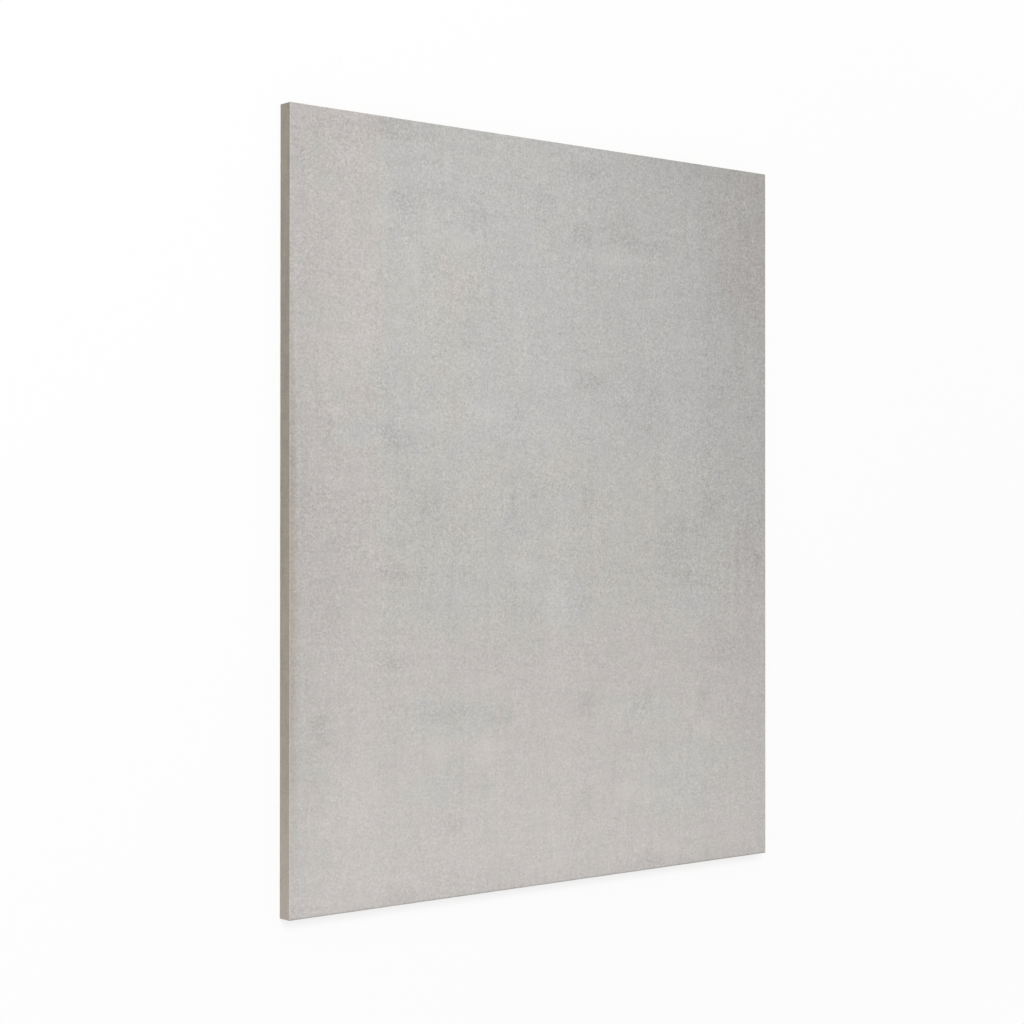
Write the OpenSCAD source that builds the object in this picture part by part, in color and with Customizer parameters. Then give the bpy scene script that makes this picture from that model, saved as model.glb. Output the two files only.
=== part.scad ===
// Cement board: one pressed sheet of cement and fine filler, sawn to size and lying on its back face.
// Sizes in millimetres. The origin is the middle of the back face, X runs across the board,
// Y along it, and Z out of the smooth front face.

/* [Board] */
// Width across the board, X
board_width = 1000; // [300:10:1250]
// Length along the board, Y
board_length = 1200; // [300:10:3100]
// Thickness between the two faces, Z
board_thickness = 25; // [8:1:40]

/* [Edges] */
// Width of the eased arris where a face meets a sawn edge
arris = 0.8; // [0.2:0.1:2]

/* [Hidden] */

cement_grey = [0.74, 0.73, 0.72];

// Section of a sheet seen end on: a rectangle standing on its long side, centred sideways,
// with all four corners cut back by the arris.
module eased_section(width) {
    half = width / 2;
    polygon([
        [-half + arris, 0],
        [half - arris, 0],
        [half, arris],
        [half, board_thickness - arris],
        [half - arris, board_thickness],
        [-half + arris, board_thickness],
        [-half, board_thickness - arris],
        [-half, arris]
    ]);
}

// The sheet: its section across X runs along Y, its section along Y runs across X, and the board
// is what the two have in common, so that the arrises mitre where they meet at the corners.
module cement_board() {
    color(cement_grey)
    intersection() {
        rotate([90, 0, 0])
            linear_extrude(height = board_length, center = true)
                eased_section(board_width);
        rotate([90, 0, 90])
            linear_extrude(height = board_width, center = true)
                eased_section(board_length);
    }
}

cement_board();
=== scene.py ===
"""A cement board: one pressed and sawn sheet, lying on its back with its smooth face up."""
import math
import random

import bmesh
import bpy
from mathutils import Euler, Matrix, Vector, noise


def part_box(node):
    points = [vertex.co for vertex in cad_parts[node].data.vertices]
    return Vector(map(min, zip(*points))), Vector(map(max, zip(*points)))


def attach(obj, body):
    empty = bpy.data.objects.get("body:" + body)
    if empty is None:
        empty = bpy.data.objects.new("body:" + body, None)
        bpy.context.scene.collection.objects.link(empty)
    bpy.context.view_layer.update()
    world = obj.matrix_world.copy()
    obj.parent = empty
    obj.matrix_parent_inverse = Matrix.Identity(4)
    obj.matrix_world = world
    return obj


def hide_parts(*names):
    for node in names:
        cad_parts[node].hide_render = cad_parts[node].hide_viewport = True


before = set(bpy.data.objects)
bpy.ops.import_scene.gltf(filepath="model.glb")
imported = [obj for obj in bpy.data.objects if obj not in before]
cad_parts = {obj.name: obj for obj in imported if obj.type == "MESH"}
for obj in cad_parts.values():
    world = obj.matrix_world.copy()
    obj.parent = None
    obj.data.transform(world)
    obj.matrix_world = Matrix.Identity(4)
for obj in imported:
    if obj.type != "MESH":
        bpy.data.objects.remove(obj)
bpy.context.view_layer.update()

# Camera: a short telephoto lens that looks down on the board from beyond its left edge, square to
# its length, so that the length stands upright in the picture.
board_low, board_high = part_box("cement_board")
width, length, thickness = board_high - board_low

CAMERA_TURN = Euler((math.radians(0.3), math.radians(-39.24), math.radians(0.03)))
CAMERA_DISTANCE = 2.7536 * length
CAMERA_AIM = Vector((-0.0789 * width, 0.0, board_high.z))
FILM_WIDTH, LENS_LENGTH = 36.0, 72.95

camera_data = bpy.data.cameras.new("camera")
camera_data.sensor_width = FILM_WIDTH
camera_data.lens = LENS_LENGTH
camera_data.dof.use_dof = False
camera = bpy.data.objects.new("camera", camera_data)
camera.rotation_euler = CAMERA_TURN
camera.location = CAMERA_AIM + CAMERA_TURN.to_matrix() @ Vector((0.0, 0.0, CAMERA_DISTANCE))
bpy.context.scene.collection.objects.link(camera)
bpy.context.scene.camera = camera

# The board is one sheet of cement, fine sand and filler, pressed flat between plates, cured, and
# sawn to size on all four sides. Its arrises are eased with a block, and a few air bubbles that
# lay against the plate show as pinholes in its front face.
ARRIS = 0.0008
ARRIS_SEGMENTS = 2
FACE_CELL = 0.008
EDGE_CELL = 0.002
SHARP_FROM = math.radians(15)

size = Vector((width, length, thickness))
middle = (board_low + board_high) / 2

sheet = bmesh.new()
bmesh.ops.create_cube(sheet, size=1.0, matrix=Matrix.Translation(middle) @ Matrix.Diagonal(size.to_4d()))
bmesh.ops.bevel(sheet, geom=sheet.edges[:], offset=ARRIS, segments=ARRIS_SEGMENTS,
                profile=0.5, affect="EDGES", material=-1)
# Cells are cut across the edges that run nearly the whole way along each side.
NEARLY_WHOLE = 0.9
for axis, cell in enumerate((FACE_CELL, FACE_CELL, EDGE_CELL)):
    whole = [e for e in sheet.edges
             if abs(e.verts[1].co[axis] - e.verts[0].co[axis]) > NEARLY_WHOLE * size[axis]]
    bmesh.ops.subdivide_edges(sheet, edges=whole, cuts=round(size[axis] / cell) - 1)


def depth_in(place):
    """How far a point lies inside the outline of the board, seen from above."""
    return min(width / 2 - abs(place.x), length / 2 - abs(place.y))


# The rim, out to the arrises, has shorter cells along it than the faces. Its edges lie level.
ON_ARRIS = 1.01 * ARRIS
LEVEL = ARRIS / 100
rim = [e for e in sheet.edges
       if max(depth_in(v.co) for v in e.verts) < ON_ARRIS
       and abs(e.verts[1].co.z - e.verts[0].co.z) < LEVEL
       and e.calc_length() > FACE_CELL / 2]
bmesh.ops.subdivide_edges(sheet, edges=rim, cuts=round(FACE_CELL / EDGE_CELL) - 1)

# What faces up or down belongs to the front or the back, and the rest is sawn edge.
FRONT, BACK, EDGE = range(3)
FACES_UP_FROM = 0.6
sheet.normal_update()
for e in sheet.edges:
    e.smooth = e.calc_face_angle() < SHARP_FROM
for f in sheet.faces:
    f.smooth = True
    turned_up = f.normal.z
    f.material_index = FRONT if turned_up > FACES_UP_FROM else BACK if turned_up < -FACES_UP_FROM else EDGE

# Pinholes: round mouths 1 to 2 mm wide, about as deep as they are wide. Two lie by the far corner.
# A hole goes down in two steps, each given by how far it narrows and sinks, in half widths.
PINHOLES = 14
PINHOLE_SPREAD = 0.45
PINHOLE_WIDTHS = (0.0010, 0.0022)
PINHOLE_STEPS = ((0.15, 0.9), (0.4, 0.7))
CORNER_HOLES = ((0.470, 0.585), (0.478, 0.578))
FLAT_UP = 0.999
draw = random.Random(7)
spots = [Vector((draw.uniform(-PINHOLE_SPREAD, PINHOLE_SPREAD) * width,
                 draw.uniform(-PINHOLE_SPREAD, PINHOLE_SPREAD) * length))
         for _ in range(PINHOLES)]
spots += [Vector(spot) for spot in CORNER_HOLES]
faces_up = [f for f in sheet.faces if f.normal.z > FLAT_UP]
chosen = []
for spot in spots:
    nearest = min(faces_up, key=lambda f: (f.calc_center_median().xy - spot).length)
    if nearest not in chosen:
        chosen.append(nearest)
for f in chosen:
    half_width = draw.uniform(*PINHOLE_WIDTHS) / 2
    centre = bmesh.ops.poke(sheet, faces=[f])["verts"][0]
    cut = bmesh.ops.bevel(sheet, geom=[centre], offset=half_width, segments=3, profile=0.5,
                          affect="VERTICES", material=-1)
    floor_of_hole = max(cut["faces"], key=lambda face: len(face.verts))
    for narrows, sinks in PINHOLE_STEPS:
        bmesh.ops.inset_region(sheet, faces=[floor_of_hole], thickness=narrows * half_width,
                               depth=-sinks * half_width)

# Relief, always inward, each by its size each way and its depth: the plates leave the faces a shade
# wavy, and the saw leaves the edges with the pressed layers, its own waviness, pulled grains and small
# nicks in the arrises. A grain is pulled only where its lumps come within a share of their top.
WAVE_SIZE, WAVE_DEPTH = (0.16, 0.16, 0.16), 0.00010
LAYER_SIZE, LAYER_DEPTH = (0.12, 0.12, 0.0024), 0.00014
SAW_SIZE, SAW_DEPTH = (0.03, 0.03, 0.075), 0.00010
PULLED_SIZE, PULLED_DEPTH, PULLED_SHARE = (0.004, 0.004, 0.004), 0.00045, 0.25
NICK_SIZE, NICK_DEPTH = (0.011, 0.011, 0.011), 0.00022
LUMP_SWING = 0.6


def lumps(place, lump_size):
    """Smooth lumps of a given size each way, from 0 to 1."""
    steps = Vector([along / step for along, step in zip(place, lump_size)])
    return min(max(0.5 + LUMP_SWING * noise.noise(steps), 0.0), 1.0)


sheet.normal_update()
moves = []
for v in sheet.verts:
    place = v.co.copy()
    on_face = depth_in(place) > ON_ARRIS
    on_arris = min(place.z - board_low.z, board_high.z - place.z) < ON_ARRIS
    if on_face:
        dent = WAVE_DEPTH * lumps(place, WAVE_SIZE)
    elif on_arris:
        dent = NICK_DEPTH * lumps(place, NICK_SIZE) ** 2
    else:
        pulled = max(lumps(place, PULLED_SIZE) - 1.0 + PULLED_SHARE, 0.0) / PULLED_SHARE
        dent = (LAYER_DEPTH * lumps(place, LAYER_SIZE) + SAW_DEPTH * lumps(place, SAW_SIZE)
                + PULLED_DEPTH * pulled)
    moves.append((v, place - v.normal * dent))
for v, place in moves:
    v.co = place

# The map that a bake uses: the two faces side by side, and the four edges in strips above them.
FACES_PART, FRONT_PART, MAP_GAP = 0.75, 0.66, 0.004
STRIP_PART = (1.0 - FACES_PART) / 4
bake_map = sheet.loops.layers.uv.new("OFBake")
sheet.normal_update()
for f in sheet.faces:
    normal = f.normal
    if f.material_index == EDGE:
        across_x = abs(normal.x) > abs(normal.y)
        strip = (0 if normal.x < 0 else 1) if across_x else (2 if normal.y < 0 else 3)
        low_corner = Vector((0.0, FACES_PART + strip * STRIP_PART))
        high_corner = low_corner + Vector((1.0, STRIP_PART))
        run, rise = (1 if across_x else 0), 2
    else:
        front = f.material_index == FRONT
        low_corner = Vector((0.0 if front else FRONT_PART, 0.0))
        high_corner = Vector((FRONT_PART if front else 1.0, FACES_PART))
        run, rise = 0, 1
    low_corner += Vector((MAP_GAP, MAP_GAP))
    high_corner -= Vector((MAP_GAP, MAP_GAP))
    for corner in f.loops:
        share_run = (corner.vert.co[run] - board_low[run]) / size[run]
        share_rise = (corner.vert.co[rise] - board_low[rise]) / size[rise]
        corner[bake_map].uv = (low_corner.x + share_run * (high_corner.x - low_corner.x),
                               low_corner.y + share_rise * (high_corner.y - low_corner.y))

board_mesh = bpy.data.meshes.new("pressed_sheet")
sheet.to_mesh(board_mesh)
sheet.free()
board = bpy.data.objects.new("pressed_sheet", board_mesh)
bpy.context.scene.collection.objects.link(board)


def add_node(tree, kind, inputs, **settings):
    """Adds a node with its settings. Each input takes a value, or the socket that feeds it."""
    node = tree.nodes.new(kind)
    for name, value in settings.items():
        setattr(node, name, value)
    for name, value in inputs.items():
        if isinstance(value, bpy.types.NodeSocket):
            tree.links.new(value, node.inputs[name])
        else:
            node.inputs[name].default_value = value
    return node


def work_out(tree, operation, *terms):
    """The result of one sum on values or sockets."""
    return add_node(tree, "ShaderNodeMath", dict(enumerate(terms)), operation=operation).outputs[0]


def add_up(tree, start, *parts):
    """A value, plus each part times its weight."""
    total = start
    for part, weight in parts:
        total = work_out(tree, "MULTIPLY_ADD", part, weight, total)
    return total


def between(tree, value, start, end, first=0.0, last=1.0):
    """A soft step that runs from first to last while a socket's value runs from start to end."""
    step = add_node(tree, "ShaderNodeMapRange", {"Value": value, 1: start, 2: end, 3: first, 4: last},
                    interpolation_type="SMOOTHSTEP")
    return step.outputs[0]


def new_group(name, inputs, outputs):
    """An empty shader group with its sockets, and its input and output nodes."""
    group = bpy.data.node_groups.new(name, "ShaderNodeTree")
    for direction, sockets in (("INPUT", inputs), ("OUTPUT", outputs)):
        for label, kind in sockets.items():
            group.interface.new_socket(label, in_out=direction, socket_type="NodeSocket" + kind)
    return group, group.nodes.new("NodeGroupInput").outputs, group.nodes.new("NodeGroupOutput").inputs


# A noise runs from 0 to 1, mostly near its middle, and this factor and offset stretch it to a tone.
STRETCH, RECENTRE = 4.0, -2.0

# Clouds: soft uneven tone, about -1 to 1, in lumps of a given size each way.
cloud, given, result = new_group("cloud", {"Place": "Vector", "Size": "Vector"}, {"Tone": "Float"})
scaled = add_node(cloud, "ShaderNodeVectorMath", {0: given["Place"], 1: given["Size"]}, operation="DIVIDE")
lump = add_node(cloud, "ShaderNodeTexNoise",
                {"Vector": scaled.outputs[0], "Scale": 1.0, "Detail": 3.0, "Roughness": 0.6})
cloud.links.new(work_out(cloud, "MULTIPLY_ADD", lump.outputs[0], STRETCH, RECENTRE), result["Tone"])

# Sand grain: speckle with grains of a given size each way, about -1 to 1, and their height, 0 to 1.
grain, given, result = new_group("sand grain", {"Place": "Vector", "Size": "Vector"},
                                 {"Tone": "Float", "Height": "Float"})
scaled = add_node(grain, "ShaderNodeVectorMath", {0: given["Place"], 1: given["Size"]}, operation="DIVIDE")
speck = add_node(grain, "ShaderNodeTexNoise",
                 {"Vector": scaled.outputs[0], "Scale": 1.0, "Detail": 2.0, "Roughness": 0.7})
grain.links.new(work_out(grain, "MULTIPLY_ADD", speck.outputs[0], STRETCH, RECENTRE), result["Tone"])
grain.links.new(speck.outputs[0], result["Height"])

# Pores: round pinpricks of a given width, one in each cell of a given spacing, in a share of the cells.
# Their rim is soft, from empty to full, in widths away from the middle.
PORE_RIM = (0.6, 0.35)
pores, given, result = new_group(
    "pores", {"Place": "Vector", "Spacing": "Float", "Width": "Float", "Share": "Float"}, {"Mask": "Float"})
scaled = add_node(pores, "ShaderNodeVectorMath", {0: given["Place"]}, operation="SCALE")
pores.links.new(work_out(pores, "DIVIDE", 1.0, given["Spacing"]), scaled.inputs["Scale"])
cells = add_node(pores, "ShaderNodeTexVoronoi", {"Vector": scaled.outputs[0], "Scale": 1.0})
from_middle = work_out(pores, "MULTIPLY", cells.outputs["Distance"], given["Spacing"])
widths_away = work_out(pores, "DIVIDE", from_middle, given["Width"])
pinprick = between(pores, widths_away, *PORE_RIM)
luck = add_node(pores, "ShaderNodeSeparateXYZ", {0: cells.outputs["Color"]}).outputs[0]
chosen_cell = work_out(pores, "LESS_THAN", luck, given["Share"])
pores.links.new(work_out(pores, "MULTIPLY", pinprick, chosen_cell), result["Mask"])

# A mark: one soft patch with its middle, its reach each way and its strength, added to those so far.
# The rag, about -1 to 1, breaks up its outline, and its rim is soft, in reaches from the middle.
RAGGEDNESS = 0.45
MARK_RIM = (1.15, 0.4)
mark, given, result = new_group(
    "mark", {"So Far": "Float", "Place": "Vector", "Middle": "Vector", "Reach": "Vector",
             "Strength": "Float", "Rag": "Float"}, {"Tone": "Float"})
offset = add_node(mark, "ShaderNodeVectorMath", {0: given["Place"], 1: given["Middle"]}, operation="SUBTRACT")
offset = add_node(mark, "ShaderNodeVectorMath", {0: offset.outputs[0], 1: given["Reach"]}, operation="DIVIDE")
away = add_node(mark, "ShaderNodeVectorMath", {0: offset.outputs[0]}, operation="LENGTH").outputs["Value"]
away = work_out(mark, "MULTIPLY_ADD", given["Rag"], RAGGEDNESS, away)
patch = between(mark, away, *MARK_RIM)
mark.links.new(work_out(mark, "MULTIPLY_ADD", patch, given["Strength"], given["So Far"]), result["Tone"])


def place_group(tree, group, **inputs):
    """Places a group in a material, with its inputs by name, and returns its outputs."""
    node = tree.nodes.new("ShaderNodeGroup")
    node.node_tree = group
    for name, value in inputs.items():
        name = name.replace("_", " ").title()
        if isinstance(value, bpy.types.NodeSocket):
            tree.links.new(value, node.inputs[name])
        else:
            node.inputs[name].default_value = value
    return node.outputs


def linear(red, green, blue):
    """A colour in linear light from its screen values, 0 to 255."""
    shares = [v / 255 for v in (red, green, blue)]
    return [(v / 12.92 if v <= 0.04045 else ((v + 0.055) / 1.055) ** 2.4) for v in shares] + [1.0]


def lay_down(tree, place, pattern, layers):
    """Places a pattern once for each layer. Returns their outputs by name, and their weighted sum."""
    laid = {name: place_group(tree, pattern, place=place, size=size) for name, size, weight in layers}
    return laid, add_up(tree, 0.0, *((laid[name]["Tone"], weight) for name, size, weight in layers))


CEMENT_SHEEN = 0.25


def new_material(name, colour):
    """A material with a matt cement shader, its tree, and the object's own coordinates."""
    material = bpy.data.materials.new(name)
    material.use_nodes = True
    material.diffuse_color = colour
    tree = material.node_tree
    shader = tree.nodes["Principled BSDF"]
    shader.inputs["Specular IOR Level"].default_value = CEMENT_SHEEN
    place = tree.nodes.new("ShaderNodeTexCoord").outputs["Object"]
    return material, tree, shader, place


def feed_shader(tree, shader, colour, tone, roughness, height, depth, strength):
    """Feeds a shader its colour in a tone, its roughness, and its fine relief from a height."""
    toned = add_node(tree, "ShaderNodeVectorMath", {0: colour, "Scale": tone}, operation="SCALE")
    bump = add_node(tree, "ShaderNodeBump", {"Height": height, "Distance": depth, "Strength": strength})
    tree.links.new(toned.outputs[0], shader.inputs["Base Color"])
    tree.links.new(roughness, shader.inputs["Roughness"])
    tree.links.new(bump.outputs[0], shader.inputs["Normal"])


def blend(tree, share, first, second):
    """A colour between two others."""
    return add_node(tree, "ShaderNodeMix", {0: share, 6: first, 7: second}, data_type="RGBA").outputs[2]


# The front face lay against the smooth plate. Its skin of cement and fine sand is grey with a cool, a
# greenish and a warm cast by patches, finely speckled, and a little streaked both ways by the rollers.
COOL, GREENISH, WARM = linear(187, 186, 184), linear(187.5, 186.5, 182), linear(189.5, 185, 182)
# The stain is the cement's own colour; the pale cream is a painted highlight along one arris.
STAINED, PAINTED_HIGHLIGHT = linear(175, 168, 159), linear(201, 196.5, 186)
FRONT_ROUGHNESS, FRONT_ROUGHNESS_SWING = 0.88, 0.06
FRONT_BUMP_DEPTH, FRONT_BUMP_STRENGTH = 0.0004, 0.6

# Its layers of tone, each by its name, its size each way and its weight: the fine ones, then the soft.
FRONT_GRAIN = (
    ("speckle", (0.0034, 0.0034, 0.0034), 0.18),
    ("strokes along", (0.0028, 0.009, 0.01), 0.055),
    ("strokes across", (0.009, 0.0028, 0.01), 0.055))
FRONT_CLOUDS = (
    ("smears across", (0.08, 0.013, 0.05), 0.026),
    ("smears along", (0.012, 0.075, 0.05), 0.026),
    ("streaks along", (0.012, 0.25, 0.05), 0.014),
    ("streaks across", (0.25, 0.012, 0.05), 0.010),
    ("patches", (0.07, 0.09, 0.07), 0.012),
    ("blotches", (0.02, 0.02, 0.02), 0.009))
CROWDING_SIZE = (0.04, 0.04, 0.04)
BLOTCH_RAG, SMEAR_RAG = 0.8, 0.4
VOID_SPACING, VOID_WIDTH, VOID_SHARE, VOID_TONE = 0.0065, 0.0024, 0.5, -0.08
SAND_SPACING, SAND_WIDTH, SAND_SHARE, SAND_TONE = 0.0051, 0.0022, 0.4, 0.05

front_face, tree, shader, place = new_material("front face", COOL)
axes = add_node(tree, "ShaderNodeSeparateXYZ", {0: place}).outputs
fine, fine_tone = lay_down(tree, place, grain, FRONT_GRAIN)
soft, soft_tone = lay_down(tree, place, cloud, FRONT_CLOUDS)
crowding = place_group(tree, cloud, place=place, size=CROWDING_SIZE)["Tone"]
voids = place_group(tree, pores, place=place, spacing=VOID_SPACING, width=VOID_WIDTH,
                    share=VOID_SHARE)["Mask"]
sand = place_group(tree, pores, place=place, spacing=SAND_SPACING, width=SAND_WIDTH,
                   share=SAND_SHARE)["Mask"]
patches, blotches = soft["patches"]["Tone"], soft["blotches"]["Tone"]
rag = add_up(tree, 0.0, (blotches, BLOTCH_RAG), (soft["smears across"]["Tone"], SMEAR_RAG))

# Marks in the face, from the head to the foot, each by its middle, its reach across and along, and its
# strength in percent: broad patches, partly the drift of the cement's tone and partly painted light and
# shade where the light falls off across the face, then damp or greasy marks, rubbed and pale ones, and
# patches of a warmer and a cooler cast.
BROAD_TONE_AND_PAINTED_LIGHT = (
    (0.25, 0.57, 0.1, 0.08, -2.0), (-0.15, 0.55, 0.5, 0.5, 7.0), (-0.1, 0.5, 0.2, 0.15, 2.0),
    (-0.5, 0.4, 0.12, 0.15, -2.0), (0.3, 0.3, 0.15, 0.2, 2.0), (0.6, 0.3, 0.3, 0.7, -5.0),
    (0.0, 0.05, 0.3, 0.25, 2.0), (0.2, -0.05, 0.2, 0.1, -2.0), (-0.3, -0.05, 0.2, 0.1, -1.0),
    (-0.25, -0.15, 0.4, 0.35, -2.0), (-0.55, -0.15, 0.2, 0.45, -7.0), (0.5, -0.2, 0.15, 0.3, -2.0),
    (-0.5, -0.35, 0.12, 0.15, -1.0), (0.0, -0.45, 0.3, 0.2, 1.0), (0.25, -0.5, 0.45, 0.25, 2.0),
    (-0.5, -0.55, 0.15, 0.1, -3.0))
DARK_MARKS = (
    (-0.31, 0.58, 0.04, 0.025, 5.5), (-0.41, 0.57, 0.06, 0.025, 3.0), (0.08, 0.56, 0.05, 0.02, 5.5),
    (-0.01, 0.5, 0.03, 0.05, 5.0), (-0.22, 0.49, 0.06, 0.012, 2.5), (-0.29, 0.475, 0.03, 0.025, 6.0),
    (0.16, 0.47, 0.045, 0.03, 5.5), (-0.16, 0.465, 0.035, 0.03, 4.5), (0.07, 0.46, 0.025, 0.025, 7.0),
    (0.2, 0.445, 0.1, 0.01, 3.5), (0.42, 0.39, 0.06, 0.04, 2.0), (-0.12, 0.33, 0.006, 0.04, 3.5),
    (-0.17, 0.275, 0.018, 0.025, 5.0), (0.425, 0.27, 0.007, 0.05, 4.5), (0.085, 0.215, 0.035, 0.022, 8.0),
    (0.38, 0.21, 0.03, 0.025, 3.0), (0.21, 0.18, 0.08, 0.06, 2.5), (-0.45, 0.17, 0.012, 0.04, 2.5),
    (-0.43, 0.12, 0.012, 0.04, 6.0), (-0.31, 0.11, 0.05, 0.02, 5.5), (0.085, 0.025, 0.025, 0.03, 4.0),
    (-0.24, 0.02, 0.045, 0.03, 4.0), (-0.075, 0.02, 0.008, 0.04, 5.0), (-0.032, 0.02, 0.008, 0.04, 7.0),
    (0.37, 0.015, 0.03, 0.03, 4.0), (0.45, -0.04, 0.03, 0.05, 3.5), (0.28, -0.05, 0.06, 0.06, 3.5),
    (0.48, -0.08, 0.02, 0.02, 8.0), (0.06, -0.09, 0.01, 0.02, 3.0), (-0.31, -0.095, 0.04, 0.02, 6.0),
    (0.43, -0.1, 0.006, 0.1, 4.5), (-0.28, -0.105, 0.045, 0.02, 4.5), (0.32, -0.115, 0.045, 0.016, 6.5),
    (0.08, -0.12, 0.03, 0.05, 3.0), (-0.075, -0.15, 0.007, 0.05, 5.0), (-0.435, -0.17, 0.01, 0.03, 3.5),
    (-0.31, -0.225, 0.04, 0.02, 5.0), (0.4, -0.245, 0.05, 0.03, 3.5), (0.075, -0.31, 0.025, 0.022, 7.0),
    (0.345, -0.31, 0.02, 0.03, 5.0), (-0.21, -0.315, 0.07, 0.025, 5.0), (0.205, -0.315, 0.03, 0.02, 5.0),
    (-0.1, -0.32, 0.03, 0.02, 4.5), (-0.44, -0.325, 0.02, 0.03, 7.0), (-0.33, -0.4, 0.015, 0.03, 3.0),
    (0.14, -0.43, 0.01, 0.02, 4.5), (0.08, -0.45, 0.012, 0.03, 4.0), (-0.19, -0.485, 0.02, 0.02, 4.0),
    (0.07, -0.5, 0.03, 0.07, 2.5), (-0.1, -0.575, 0.05, 0.025, 2.0), (-0.31, -0.58, 0.05, 0.02, 4.0),
    (0.22, -0.58, 0.05, 0.02, 4.0))
PALE_MARKS = (
    (0.32, 0.48, 0.015, 0.06, 2.5), (-0.33, 0.45, 0.03, 0.02, 4.0), (-0.24, 0.43, 0.025, 0.03, 4.0),
    (-0.18, 0.425, 0.04, 0.02, 4.0), (0.15, 0.42, 0.06, 0.015, 5.0), (-0.28, 0.38, 0.025, 0.04, 3.0),
    (-0.27, 0.375, 0.012, 0.03, 3.5), (-0.065, 0.29, 0.018, 0.09, 1.5), (0.4, 0.29, 0.025, 0.05, 4.0),
    (-0.39, 0.27, 0.07, 0.09, 1.5), (0.46, 0.26, 0.02, 0.06, 5.0), (-0.13, 0.155, 0.04, 0.025, 5.0),
    (-0.24, 0.14, 0.05, 0.02, 4.0), (0.26, 0.08, 0.015, 0.05, 4.0), (-0.35, -0.045, 0.025, 0.02, 4.5),
    (-0.045, -0.095, 0.03, 0.02, 4.0), (-0.185, -0.13, 0.015, 0.03, 5.0), (0.01, -0.15, 0.03, 0.06, 4.0),
    (0.415, -0.15, 0.007, 0.07, 5.0), (-0.12, -0.27, 0.03, 0.02, 4.0), (-0.22, -0.37, 0.03, 0.02, 3.5),
    (0.35, -0.37, 0.04, 0.02, 4.5), (-0.13, -0.375, 0.04, 0.025, 6.0), (-0.37, -0.41, 0.05, 0.08, 3.0),
    (0.17, -0.46, 0.03, 0.02, 5.0))
WARM_MARKS = (
    (0.49, 0.46, 0.13, 0.2, 70.0), (-0.2, 0.36, 0.09, 0.08, 40.0), (-0.21, 0.22, 0.07, 0.12, 35.0),
    (-0.4, 0.04, 0.12, 0.05, 30.0), (0.47, -0.1, 0.1, 0.1, 35.0))
COOL_MARKS = (
    (-0.36, 0.12, 0.06, 0.025, 60.0), (0.04, -0.15, 0.06, 0.06, 35.0), (0.32, -0.15, 0.07, 0.03, 35.0),
    (-0.2, -0.32, 0.1, 0.04, 45.0), (0.22, -0.33, 0.12, 0.03, 35.0), (0.38, -0.41, 0.08, 0.04, 40.0),
    (-0.24, -0.43, 0.07, 0.03, 40.0), (0.28, -0.46, 0.1, 0.07, 45.0))


def add_marks(tree, place, so_far, sign, marks, rag):
    """A tone on the front face with a set of marks added to it, paler or darker by the sign."""
    for x, y, reach_x, reach_y, percent in marks:
        so_far = place_group(tree, mark, so_far=so_far, place=place, middle=(x, y, thickness),
                             reach=(reach_x, reach_y, 1.0), strength=sign * percent / 100, rag=rag)["Tone"]
    return so_far


# The tone drifts by so much a metre across and along, and this drift is painted light: lighter towards
# the left and the foot, darker towards the right and the head. It steps by so many percent at the borders
# of the strips that the plate left, each at its place across. A border is soft, and wanders a little.
PAINTED_LIGHT_ACROSS, PAINTED_LIGHT_ALONG = -0.08, -0.18
STRIPS = ((-0.44, 1.5), (-0.34, -1.0), (0.08, -1.0), (0.34, -2.0))
STRIP_BORDER, STRIP_WANDER = 0.007, 0.005
across = add_up(tree, axes["X"], (rag, STRIP_WANDER))
broad_tone_and_painted_light = add_up(tree, 0.0, (axes["X"], PAINTED_LIGHT_ACROSS), (axes["Y"], PAINTED_LIGHT_ALONG))
broad_tone_and_painted_light = add_marks(tree, place, broad_tone_and_painted_light, 1, BROAD_TONE_AND_PAINTED_LIGHT, 0.0)
for x, percent in STRIPS:
    step = between(tree, across, x - STRIP_BORDER, x + STRIP_BORDER, 0.0, percent / 100)
    broad_tone_and_painted_light = work_out(tree, "ADD", broad_tone_and_painted_light, step)
marked = add_marks(tree, place, 0.0, -1, DARK_MARKS, rag)
marked = add_marks(tree, place, marked, 1, PALE_MARKS, rag)

# The speckle stands out more in dark marks, in clusters and to the right, and less towards the foot.
# Here and below, a soft step is given by where it starts and ends and by its values there.
SPECKLE_IN_MARKS, SPECKLE_IN_CLUSTERS = -4.0, 0.35
SPECKLE_ACROSS, SPECKLE_ALONG = (0.1, 0.45, 1.0, 1.12), (-0.05, -0.35, 1.0, 0.83)
contrast = add_up(tree, 1.0, (marked, SPECKLE_IN_MARKS), (crowding, SPECKLE_IN_CLUSTERS))
contrast = work_out(tree, "MULTIPLY", contrast, between(tree, axes["X"], *SPECKLE_ACROSS))
contrast = work_out(tree, "MULTIPLY", contrast, between(tree, axes["Y"], *SPECKLE_ALONG))
speckled = add_up(tree, fine_tone, (voids, VOID_TONE), (sand, SAND_TONE))

# The last centimetres at the head and the foot are dusty, and a thin painted shade darkens the arris
# at the foot.
PLAIN_TONE = 1.003
HEAD_DUST, FOOT_DUST = (0.0, 0.045, -0.01, 0.0), (0.0, 0.035, -0.04, 0.0)
PAINTED_SHADE_AT_FOOT_ARRIS = (0.0013, 0.0035, -0.24, 0.0)
from_left = work_out(tree, "ADD", axes["X"], width / 2)
from_foot = work_out(tree, "ADD", axes["Y"], length / 2)
from_head = work_out(tree, "SUBTRACT", length / 2, axes["Y"])
tone = work_out(tree, "MULTIPLY_ADD", speckled, contrast, PLAIN_TONE)
for part in (soft_tone, broad_tone_and_painted_light, marked, between(tree, from_head, *HEAD_DUST),
             between(tree, from_foot, *FOOT_DUST), between(tree, from_foot, *PAINTED_SHADE_AT_FOOT_ARRIS)):
    tone = work_out(tree, "ADD", tone, part)

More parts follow.
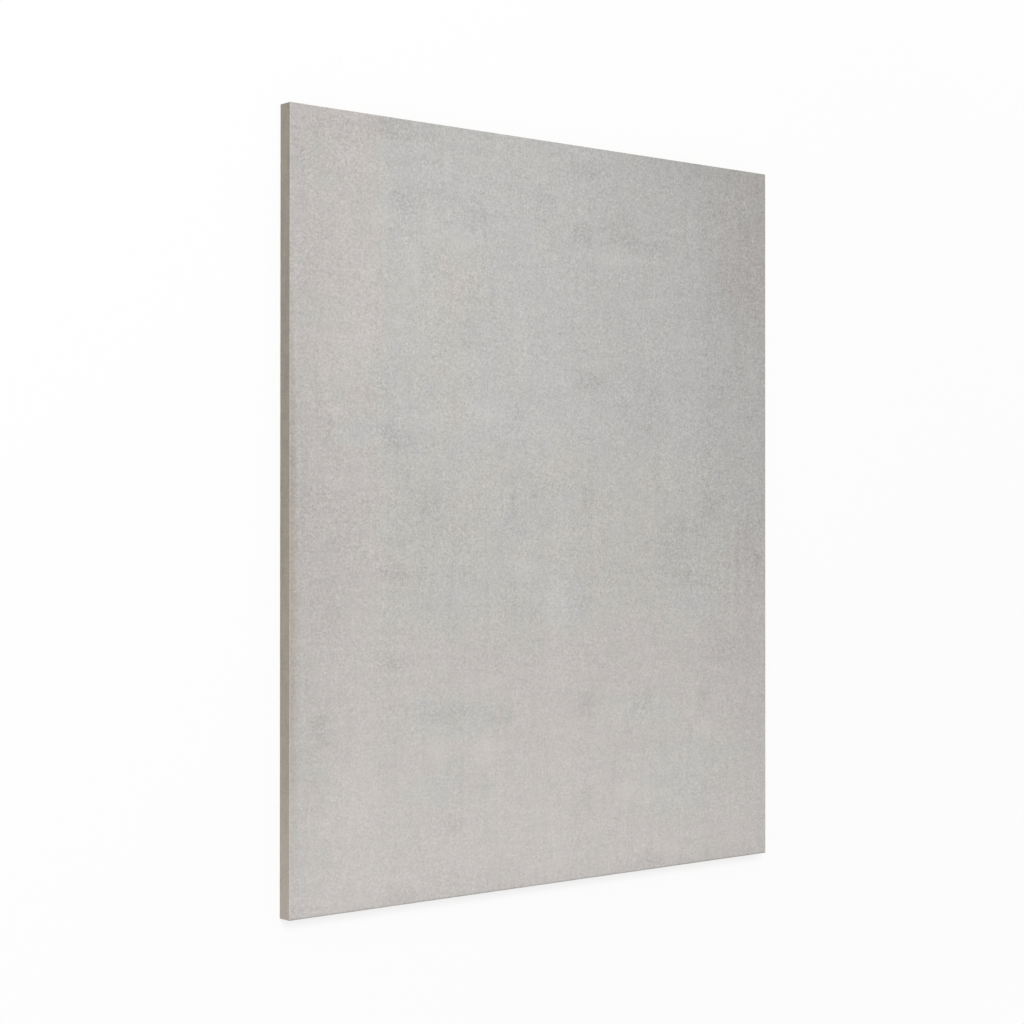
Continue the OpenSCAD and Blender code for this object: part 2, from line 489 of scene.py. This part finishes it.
# The cast turns from cool to greenish to warm as its warmth grows. It is warm in the left strip and
# towards the foot.
WARM_STRIP = (-0.31, -0.355, 0.16, 0.85)
WARM_MIDDLE, WARM_FOOT = (0.18, 0.04, 0.1, 0.44), (-0.1, -0.25, 0.0, 0.4)
PATCH_WARMTH, BLOTCH_WARMTH = 0.35, 0.3
TURNS_GREENISH, TURNS_WARM = (0.25, 0.5), (0.5, 0.75)
lower = between(tree, axes["Y"], *WARM_MIDDLE)
lower = work_out(tree, "ADD", lower, between(tree, axes["Y"], *WARM_FOOT))
warmth = work_out(tree, "MAXIMUM", between(tree, across, *WARM_STRIP), lower)
warmth = add_marks(tree, place, warmth, 1, WARM_MARKS, rag)
warmth = add_marks(tree, place, warmth, -1, COOL_MARKS, rag)
warmth = add_up(tree, warmth, (patches, PATCH_WARMTH), (blotches, BLOTCH_WARMTH))
ground = blend(tree, between(tree, warmth, *TURNS_GREENISH), COOL, GREENISH)
ground = blend(tree, between(tree, warmth, *TURNS_WARM), ground, WARM)

# Along one long edge the face is stained brown where it was handled, and a pale painted highlight runs
# along its arris, where the arris catches the light.
HANDLED_HEAD, HANDLED_FOOT = (0.62, -0.08), (-0.7, -0.15)
HANDLED_REACH, HANDLED_FULL, HANDLED_WANDER = (0.3, 0.0, 0.012, 0.021), 0.002, 0.0025
PAINTED_HIGHLIGHT_WIDTH, PAINTED_HIGHLIGHT_ALONG = (0.0036, 0.0016, 0.0, 0.5), (0.3, 0.6, 0.5, 1.5)
ragged_left = add_up(tree, from_left, (rag, HANDLED_WANDER))
reach = between(tree, axes["Y"], *HANDLED_REACH)
handled = between(tree, ragged_left, reach, HANDLED_FULL)
for part in (HANDLED_HEAD, HANDLED_FOOT):
    handled = work_out(tree, "MULTIPLY", handled, between(tree, axes["Y"], *part))
ground = blend(tree, handled, ground, STAINED)
highlight_mask = between(tree, from_left, *PAINTED_HIGHLIGHT_WIDTH)
highlight_mask = work_out(tree, "MULTIPLY", highlight_mask, between(tree, axes["Y"], *PAINTED_HIGHLIGHT_ALONG))
ground = blend(tree, highlight_mask, ground, PAINTED_HIGHLIGHT)

speckle = fine["speckle"]
roughness = add_up(tree, FRONT_ROUGHNESS, (speckle["Tone"], FRONT_ROUGHNESS_SWING))
feed_shader(tree, shader, ground, tone, roughness, speckle["Height"], FRONT_BUMP_DEPTH, FRONT_BUMP_STRENGTH)
board_mesh.materials.append(front_face)

# The back face lay on the sieve: coarser, more open and a little darker than the front.
BACK_GREY, BACK_WARM = linear(178, 177, 174), linear(182, 177, 171)
BACK_GRAIN = (("speckle", (0.0055, 0.0055, 0.0055), 0.16), ("sieve strokes", (0.02, 0.004, 0.02), 0.08))
BACK_CLOUDS = (("patches", (0.12, 0.09, 0.1), 0.05), ("smears", (0.02, 0.09, 0.05), 0.03))
BACK_WARM_SHARE, BACK_WARM_SWING = 0.4, 0.5
BACK_VOID_SPACING, BACK_VOID_WIDTH, BACK_VOID_SHARE = 0.009, 0.0035, 0.7
BACK_VOID_TONE, BACK_VOID_DEPTH = -0.14, -0.8
BACK_ROUGHNESS, BACK_ROUGHNESS_SWING = 0.92, 0.05
BACK_BUMP_DEPTH, BACK_BUMP_STRENGTH = 0.0006, 0.8

back_face, tree, shader, place = new_material("back face", BACK_GREY)
fine, fine_tone = lay_down(tree, place, grain, BACK_GRAIN)
soft, soft_tone = lay_down(tree, place, cloud, BACK_CLOUDS)
voids = place_group(tree, pores, place=place, spacing=BACK_VOID_SPACING, width=BACK_VOID_WIDTH,
                    share=BACK_VOID_SHARE)["Mask"]
tone = add_up(tree, 1.0, (fine_tone, 1.0), (soft_tone, 1.0), (voids, BACK_VOID_TONE))
warm = add_up(tree, BACK_WARM_SHARE, (soft["patches"]["Tone"], BACK_WARM_SWING))
ground = blend(tree, warm, BACK_GREY, BACK_WARM)
speckle = fine["speckle"]
roughness = add_up(tree, BACK_ROUGHNESS, (speckle["Tone"], BACK_ROUGHNESS_SWING))
relief = add_up(tree, speckle["Height"], (voids, BACK_VOID_DEPTH))
feed_shader(tree, shader, ground, tone, roughness, relief, BACK_BUMP_DEPTH, BACK_BUMP_STRENGTH)
board_mesh.materials.append(back_face)

# The sawn edges are darker than the faces and show the pressed layers as thin lines, with sand grains
# cut through. They are brown inside and greener towards the sheet's two skins, and dusty near the foot.
SAWN_BROWN, SAWN_GREEN = linear(176, 165.5, 154), linear(172, 167.5, 156.5)
SAWN_DUST = linear(175, 165.5, 156.5)
EDGE_GRAIN = (("speckle", (0.003, 0.003, 0.0025), 0.085), ("saw lines", (0.0035, 0.0035, 0.03), 0.03))
EDGE_CLOUDS = (("layers", (0.3, 0.3, 0.0035), 0.045), ("smudges", (0.03, 0.03, 0.015), 0.065))
CAST_SIZE, CAST_SWING = (0.35, 0.35, 0.008), 0.12
EDGE_VOID_SPACING, EDGE_VOID_WIDTH, EDGE_VOID_SHARE = 0.006, 0.0014, 0.6
EDGE_VOID_TONE, EDGE_VOID_DEPTH = -0.16, -0.6
SAW_LINE_DEPTH, EDGE_LAYER_DEPTH = 0.5, 0.3
EDGE_ROUGHNESS, EDGE_ROUGHNESS_SWING = 0.9, 0.05
EDGE_BUMP_DEPTH, EDGE_BUMP_STRENGTH = 0.0005, 0.7

# Its soft steps: along the edge for its tone, which carries painted light that lightens the edge
# towards the foot and a little at the head, for the strength of its skins and its dust, and up through
# the sheet for the dark line by the front arris and for each skin.
# Painted light: the edge's tone also falls by so much a metre towards the head.
EDGE_PAINTED_LIGHT_PER_METRE = -0.12
EDGE_TONE_AND_PAINTED_LIGHT, HEAD_PAINTED_LIGHT = (-0.22, -0.66, 0.785, 0.98), (0.3, 0.62, 0.0, 0.05)
SKINS_ALONG, DUST_ALONG = (0.2, -0.1, 1.0, 0.5), (-0.35, -0.55)
ARRIS_LINE = (0.0215, 0.0235, 0.0, -0.07)
FRONT_SKIN, BACK_SKIN = (0.012, 0.022), (0.008, 0.0, 0.0, 0.6)

sawn_edge, tree, shader, place = new_material("sawn edge", SAWN_BROWN)
axes = add_node(tree, "ShaderNodeSeparateXYZ", {0: place}).outputs
fine, fine_tone = lay_down(tree, place, grain, EDGE_GRAIN)
soft, soft_tone = lay_down(tree, place, cloud, EDGE_CLOUDS)
casts = place_group(tree, cloud, place=place, size=CAST_SIZE)["Tone"]
voids = place_group(tree, pores, place=place, spacing=EDGE_VOID_SPACING, width=EDGE_VOID_WIDTH,
                    share=EDGE_VOID_SHARE)["Mask"]
# The edge's tone along its length is painted light, lighter towards the foot.
tone = add_up(tree, 0.0, (axes["Y"], EDGE_PAINTED_LIGHT_PER_METRE), (voids, EDGE_VOID_TONE))
for part in (fine_tone, soft_tone, between(tree, axes["Y"], *EDGE_TONE_AND_PAINTED_LIGHT), between(tree, axes["Y"], *HEAD_PAINTED_LIGHT),
             between(tree, axes["Z"], *ARRIS_LINE)):
    tone = work_out(tree, "ADD", tone, part)

skins = between(tree, axes["Z"], *FRONT_SKIN)
skins = work_out(tree, "MAXIMUM", skins, between(tree, axes["Z"], *BACK_SKIN))
skins = work_out(tree, "MULTIPLY", skins, between(tree, axes["Y"], *SKINS_ALONG))
ground = blend(tree, add_up(tree, skins, (casts, CAST_SWING)), SAWN_BROWN, SAWN_GREEN)
ground = blend(tree, between(tree, axes["Y"], *DUST_ALONG), ground, SAWN_DUST)
speckle = fine["speckle"]
roughness = add_up(tree, EDGE_ROUGHNESS, (speckle["Tone"], EDGE_ROUGHNESS_SWING))
relief = add_up(tree, speckle["Height"], (fine["saw lines"]["Height"], SAW_LINE_DEPTH),
                (soft["layers"]["Tone"], EDGE_LAYER_DEPTH), (voids, EDGE_VOID_DEPTH))
feed_shader(tree, shader, ground, tone, roughness, relief, EDGE_BUMP_DEPTH, EDGE_BUMP_STRENGTH)
board_mesh.materials.append(sawn_edge)

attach(board, "root")
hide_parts("cement_board")

# Studio: a white floor, an even white room and one large soft lamp, high beyond the upper left. The floor
# glows to the eye, fully so away from the board, where it melts into the white room.
ROOM_LIGHT = 0.5
LAMP_SIZE = 5.0
LAMP_PLACE = Vector((-4.4, 5.4, 10.0))
LAMP_POWER = 913.0
FLOOR_SIDE = 40.0
FLOOR_WHITE = (0.95, 0.95, 0.95, 1.0)
FLOOR_GLOW = 0.78
GLOW_GROWS_FROM, GLOW_FULL_AT = 0.9, 2.5
WHITE = (1.0, 1.0, 1.0, 1.0)

floor_mesh = bpy.data.meshes.new("floor")
plane = bmesh.new()
bmesh.ops.create_grid(plane, x_segments=1, y_segments=1, size=FLOOR_SIDE / 2)
plane.to_mesh(floor_mesh)
plane.free()
floor = bpy.data.objects.new("floor", floor_mesh)
bpy.context.scene.collection.objects.link(floor)


def rays_that_look(tree):
    """1 for rays from the camera and those that mirror or pass on its view, 0 for the light itself."""
    path = tree.nodes.new("ShaderNodeLightPath").outputs
    seen = work_out(tree, "MAXIMUM", path["Is Camera Ray"], path["Is Glossy Ray"])
    return work_out(tree, "MAXIMUM", seen, path["Is Transmission Ray"])


floor_material = bpy.data.materials.new("white floor")
floor_material.use_nodes = True
tree = floor_material.node_tree
tree.nodes.clear()
matt = add_node(tree, "ShaderNodeBsdfDiffuse", {"Color": FLOOR_WHITE})
glow = add_node(tree, "ShaderNodeEmission", {"Color": WHITE, "Strength": 1.0})
floor_place = tree.nodes.new("ShaderNodeTexCoord").outputs["Object"]
from_board = add_node(tree, "ShaderNodeVectorMath", {0: floor_place}, operation="LENGTH").outputs["Value"]
glow_share = between(tree, from_board, GLOW_GROWS_FROM, GLOW_FULL_AT, FLOOR_GLOW, 1.0)
share = work_out(tree, "MULTIPLY", rays_that_look(tree), glow_share)
mix = add_node(tree, "ShaderNodeMixShader", {0: share, 1: matt.outputs[0], 2: glow.outputs[0]})
add_node(tree, "ShaderNodeOutputMaterial", {"Surface": mix.outputs[0]})
floor_mesh.materials.append(floor_material)

world = bpy.data.worlds.new("studio")
bpy.context.scene.world = world
world.use_nodes = True
tree = world.node_tree
tree.nodes.clear()
room = add_node(tree, "ShaderNodeBackground", {"Color": WHITE, "Strength": ROOM_LIGHT})
white = add_node(tree, "ShaderNodeBackground", {"Color": WHITE, "Strength": 1.0})
mix = add_node(tree, "ShaderNodeMixShader",
               {0: rays_that_look(tree), 1: room.outputs[0], 2: white.outputs[0]})
add_node(tree, "ShaderNodeOutputWorld", {"Surface": mix.outputs[0]})

lamp_data = bpy.data.lights.new("soft lamp", "AREA")
lamp_data.shape = "SQUARE"
lamp_data.size = LAMP_SIZE
lamp_data.energy = LAMP_POWER
lamp = bpy.data.objects.new("soft lamp", lamp_data)
lamp.location = LAMP_PLACE
lamp.rotation_euler = (-LAMP_PLACE).to_track_quat("-Z", "Y").to_euler()
lamp.visible_camera = False
bpy.context.scene.collection.objects.link(lamp)

bpy.context.scene.view_settings.view_transform = "Standard"
